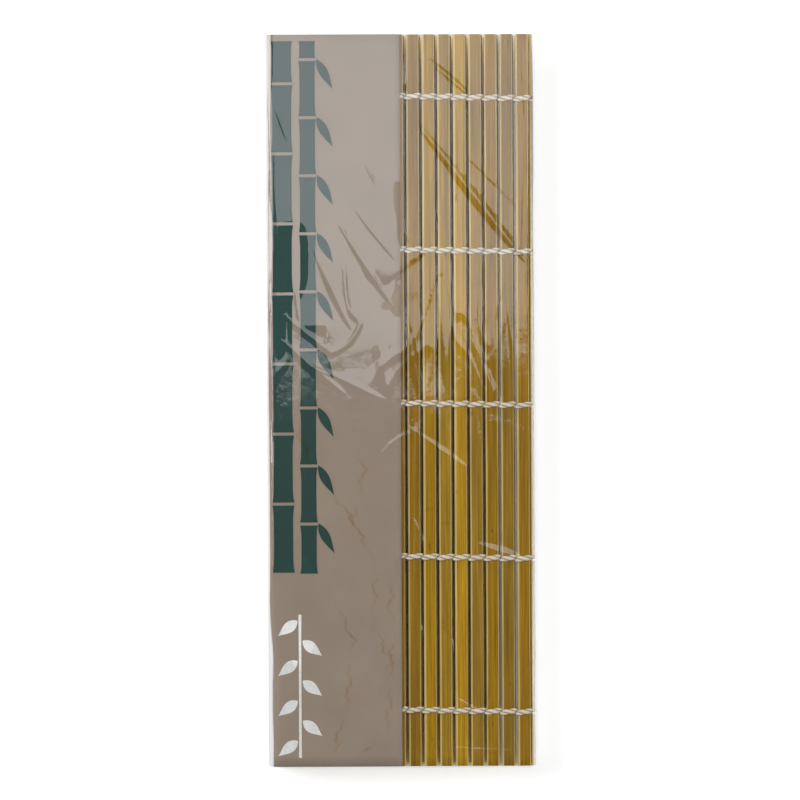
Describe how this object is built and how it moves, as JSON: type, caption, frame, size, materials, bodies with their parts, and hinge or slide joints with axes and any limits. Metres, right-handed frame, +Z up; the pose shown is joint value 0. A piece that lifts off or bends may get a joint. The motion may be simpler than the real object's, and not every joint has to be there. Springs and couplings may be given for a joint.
{
  "type": "sushi rolling mat",
  "caption": "Bamboo slats twined on cotton strings, folded in three in a clear bag with a blank card; slides out, unfolds flat and rolls up at one end.",
  "frame": {"origin": "centre of the packed mat's footprint, on the surface it lies on", "axes": "+Z up, out of the pack's front; +Y along the slats, towards the bag's open end; +X across the slats"},
  "size_m": [0.0996, 0.271, 0.0207],
  "materials": {
    "slat_01": "split bamboo, smooth skin face",
    "slat_02": "split bamboo, smooth skin face",
    "slat_03": "split bamboo, smooth skin face",
    "slat_04": "split bamboo, smooth skin face",
    "slat_05": "split bamboo, smooth skin face",
    "slat_06": "split bamboo, smooth skin face",
    "slat_07": "split bamboo, smooth skin face",
    "slat_08": "split bamboo, smooth skin face",
    "slat_09": "split bamboo, smooth skin face",
    "slat_10": "split bamboo, smooth skin face",
    "slat_11": "split bamboo, smooth skin face",
    "slat_12": "split bamboo, smooth skin face",
    "slat_13": "split bamboo, smooth skin face",
    "slat_14": "split bamboo, smooth skin face",
    "slat_15": "split bamboo, smooth skin face",
    "slat_16": "split bamboo, smooth skin face",
    "slat_17": "split bamboo, smooth skin face",
    "slat_18": "split bamboo, smooth skin face",
    "slat_19": "split bamboo, smooth skin face",
    "slat_20": "split bamboo, smooth skin face",
    "slat_21": "split bamboo, smooth skin face",
    "slat_22": "split bamboo, smooth skin face",
    "slat_23": "split bamboo, smooth skin face",
    "slat_24": "split bamboo, smooth skin face",
    "slat_25": "split bamboo, smooth skin face",
    "slat_26": "split bamboo, smooth skin face",
    "slat_27": "split bamboo, smooth skin face",
    "slat_28": "split bamboo, smooth skin face",
    "slat_29": "split bamboo, smooth skin face",
    "slat_30": "split bamboo, smooth skin face",
    "slat_31": "split bamboo, smooth skin face",
    "slat_32": "split bamboo, smooth skin face",
    "slat_33": "split bamboo, smooth skin face",
    "slat_34": "split bamboo, smooth skin face",
    "slat_35": "split bamboo, smooth skin face",
    "slat_36": "split bamboo, smooth skin face",
    "slat_37": "split bamboo, smooth skin face",
    "slat_38": "split bamboo, smooth skin face",
    "slat_39": "split bamboo, smooth skin face",
    "slat_40": "split bamboo, smooth skin face",
    "slat_41": "split bamboo, smooth skin face",
    "slat_42": "split bamboo, smooth skin face",
    "slat_43": "split bamboo, smooth skin face",
    "slat_44": "split bamboo, smooth skin face",
    "slat_45": "split bamboo, smooth skin face",
    "slat_46": "split bamboo, smooth skin face",
    "slat_47": "split bamboo, smooth skin face",
    "string_row_1": "twisted cotton string",
    "string_row_2": "twisted cotton string",
    "string_row_3": "twisted cotton string",
    "string_row_4": "twisted cotton string",
    "string_row_5": "twisted cotton string",
    "card": "matt printed card",
    "bag_front": "clear plastic film",
    "bag_back": "clear plastic film"
  },
  "bodies": {
    "wrapper": {"bag_back": "bag_back", "card": "card", "bag_front": "bag_front"},
    "slat_01_body": {"slat_01": "slat_01"},
    "slat_02_body": {"slat_02": "slat_02"},
    "slat_03_body": {"slat_03": "slat_03"},
    "slat_04_body": {"slat_04": "slat_04"},
    "slat_05_body": {"slat_05": "slat_05"},
    "slat_06_body": {"slat_06": "slat_06"},
    "slat_07_body": {"slat_07": "slat_07"},
    "slat_08_body": {"slat_08": "slat_08"},
    "slat_09_body": {"slat_09": "slat_09"},
    "slat_10_body": {"slat_10": "slat_10"},
    "slat_11_body": {"slat_11": "slat_11"},
    "slat_12_body": {"slat_12": "slat_12"},
    "slat_13_body": {"slat_13": "slat_13"},
    "slat_14_body": {"slat_14": "slat_14"},
    "slat_15_body": {"slat_15": "slat_15"},
    "middle_layer": {"slat_16": "slat_16", "slat_17": "slat_17", "slat_18": "slat_18", "slat_19": "slat_19", "slat_20": "slat_20", "slat_21": "slat_21", "slat_22": "slat_22", "slat_23": "slat_23", "slat_24": "slat_24", "slat_25": "slat_25", "slat_26": "slat_26", "slat_27": "slat_27", "slat_28": "slat_28", "slat_29": "slat_29", "slat_30": "slat_30", "slat_31": "slat_31"},
    "slat_32_body": {"slat_32": "slat_32"},
    "slat_33_body": {"slat_33": "slat_33"},
    "mat": {"slat_34": "slat_34", "slat_35": "slat_35", "slat_36": "slat_36", "slat_37": "slat_37", "slat_38": "slat_38", "slat_39": "slat_39", "slat_40": "slat_40", "slat_41": "slat_41", "slat_42": "slat_42", "slat_43": "slat_43", "slat_44": "slat_44", "slat_45": "slat_45", "slat_46": "slat_46", "slat_47": "slat_47", "string_row_1": "string_row_1", "string_row_2": "string_row_2", "string_row_3": "string_row_3", "string_row_4": "string_row_4", "string_row_5": "string_row_5"}
  },
  "joints": [
    {"name": "mat_slide", "type": "slide", "parent": "wrapper", "child": "mat", "axis": [0, 1, 0], "range_m": [0, 0.285]},
    {"name": "roll_01", "type": "hinge", "parent": "slat_02_body", "child": "slat_01_body", "pos_m": [-0.02719, 0, 0.0182], "axis": [0, 1, 0], "range_deg": [0, 20]},
    {"name": "roll_02", "type": "hinge", "parent": "slat_03_body", "child": "slat_02_body", "pos_m": [-0.02142, 0, 0.0182], "axis": [0, 1, 0], "range_deg": [0, 20]},
    {"name": "roll_03", "type": "hinge", "parent": "slat_04_body", "child": "slat_03_body", "pos_m": [-0.01566, 0, 0.0182], "axis": [0, 1, 0], "range_deg": [0, 20]},
    {"name": "roll_04", "type": "hinge", "parent": "slat_05_body", "child": "slat_04_body", "pos_m": [-0.00991, 0, 0.0182], "axis": [0, 1, 0], "range_deg": [0, 20]},
    {"name": "roll_05", "type": "hinge", "parent": "slat_06_body", "child": "slat_05_body", "pos_m": [-0.00415, 0, 0.0182], "axis": [0, 1, 0], "range_deg": [0, 20]},
    {"name": "roll_06", "type": "hinge", "parent": "slat_07_body", "child": "slat_06_body", "pos_m": [0.00161, 0, 0.0182], "axis": [0, 1, 0], "range_deg": [0, 20]},
    {"name": "roll_07", "type": "hinge", "parent": "slat_08_body", "child": "slat_07_body", "pos_m": [0.00737, 0, 0.0182], "axis": [0, 1, 0], "range_deg": [0, 20]},
    {"name": "roll_08", "type": "hinge", "parent": "slat_09_body", "child": "slat_08_body", "pos_m": [0.01314, 0, 0.0182], "axis": [0, 1, 0], "range_deg": [0, 20]},
    {"name": "roll_09", "type": "hinge", "parent": "slat_10_body", "child": "slat_09_body", "pos_m": [0.01889, 0, 0.0182], "axis": [0, 1, 0], "range_deg": [0, 20]},
    {"name": "roll_10", "type": "hinge", "parent": "slat_11_body", "child": "slat_10_body", "pos_m": [0.02465, 0, 0.0182], "axis": [0, 1, 0], "range_deg": [0, 20]},
    {"name": "roll_11", "type": "hinge", "parent": "slat_12_body", "child": "slat_11_body", "pos_m": [0.03042, 0, 0.0182], "axis": [0, 1, 0], "range_deg": [0, 20]},
    {"name": "roll_12", "type": "hinge", "parent": "slat_13_body", "child": "slat_12_body", "pos_m": [0.03617, 0, 0.0182], "axis": [0, 1, 0], "range_deg": [0, 20]},
    {"name": "roll_13", "type": "hinge", "parent": "slat_14_body", "child": "slat_13_body", "pos_m": [0.04194, 0, 0.0182], "axis": [0, 1, 0], "range_deg": [0, 20], "deforming": ["string_row_1", "string_row_2", "string_row_3", "string_row_4", "string_row_5", "card", "bag_front"]},
    {"name": "fold_14", "type": "hinge", "parent": "slat_15_body", "child": "slat_14_body", "pos_m": [0.0477, 0, 0.0182], "axis": [0, 1, 0], "range_deg": [0, 90], "deforming": ["string_row_1", "string_row_2", "string_row_3", "string_row_4", "string_row_5", "card", "bag_front"]},
    {"name": "fold_15", "type": "hinge", "parent": "middle_layer", "child": "slat_15_body", "pos_m": [0.0477, 0, 0.01244], "axis": [0, 1, 0], "range_deg": [0, 90], "deforming": ["string_row_1", "string_row_2", "string_row_3", "string_row_4", "string_row_5", "card", "bag_front"]},
    {"name": "fold_31", "type": "hinge", "parent": "slat_32_body", "child": "middle_layer", "pos_m": [-0.04446, 0, 0.01244], "axis": [0, -1, 0], "range_deg": [0, 60], "deforming": ["string_row_1", "string_row_2", "string_row_3", "string_row_4", "string_row_5", "card", "bag_front"]},
    {"name": "fold_32", "type": "hinge", "parent": "slat_33_body", "child": "slat_32_body", "pos_m": [-0.04734, 0, 0.00745], "axis": [0, -1, 0], "range_deg": [0, 60], "deforming": ["string_row_1", "string_row_2", "string_row_3", "string_row_4", "string_row_5", "card", "bag_front"]},
    {"name": "fold_33", "type": "hinge", "parent": "mat", "child": "slat_33_body", "pos_m": [-0.04446, 0, 0.00246], "axis": [0, -1, 0], "range_deg": [0, 60], "deforming": ["string_row_1", "string_row_2", "string_row_3", "string_row_4", "string_row_5", "card", "bag_front"]}
  ],
  "couplings": [
    {"joint": "roll_01", "follows": "roll_13", "ratio": 1},
    {"joint": "roll_02", "follows": "roll_13", "ratio": 1},
    {"joint": "roll_03", "follows": "roll_13", "ratio": 1},
    {"joint": "roll_04", "follows": "roll_13", "ratio": 1},
    {"joint": "roll_05", "follows": "roll_13", "ratio": 1},
    {"joint": "roll_06", "follows": "roll_13", "ratio": 1},
    {"joint": "roll_07", "follows": "roll_13", "ratio": 1},
    {"joint": "roll_08", "follows": "roll_13", "ratio": 1},
    {"joint": "roll_09", "follows": "roll_13", "ratio": 1},
    {"joint": "roll_10", "follows": "roll_13", "ratio": 1},
    {"joint": "roll_11", "follows": "roll_13", "ratio": 1},
    {"joint": "roll_12", "follows": "roll_13", "ratio": 1}
  ]
}
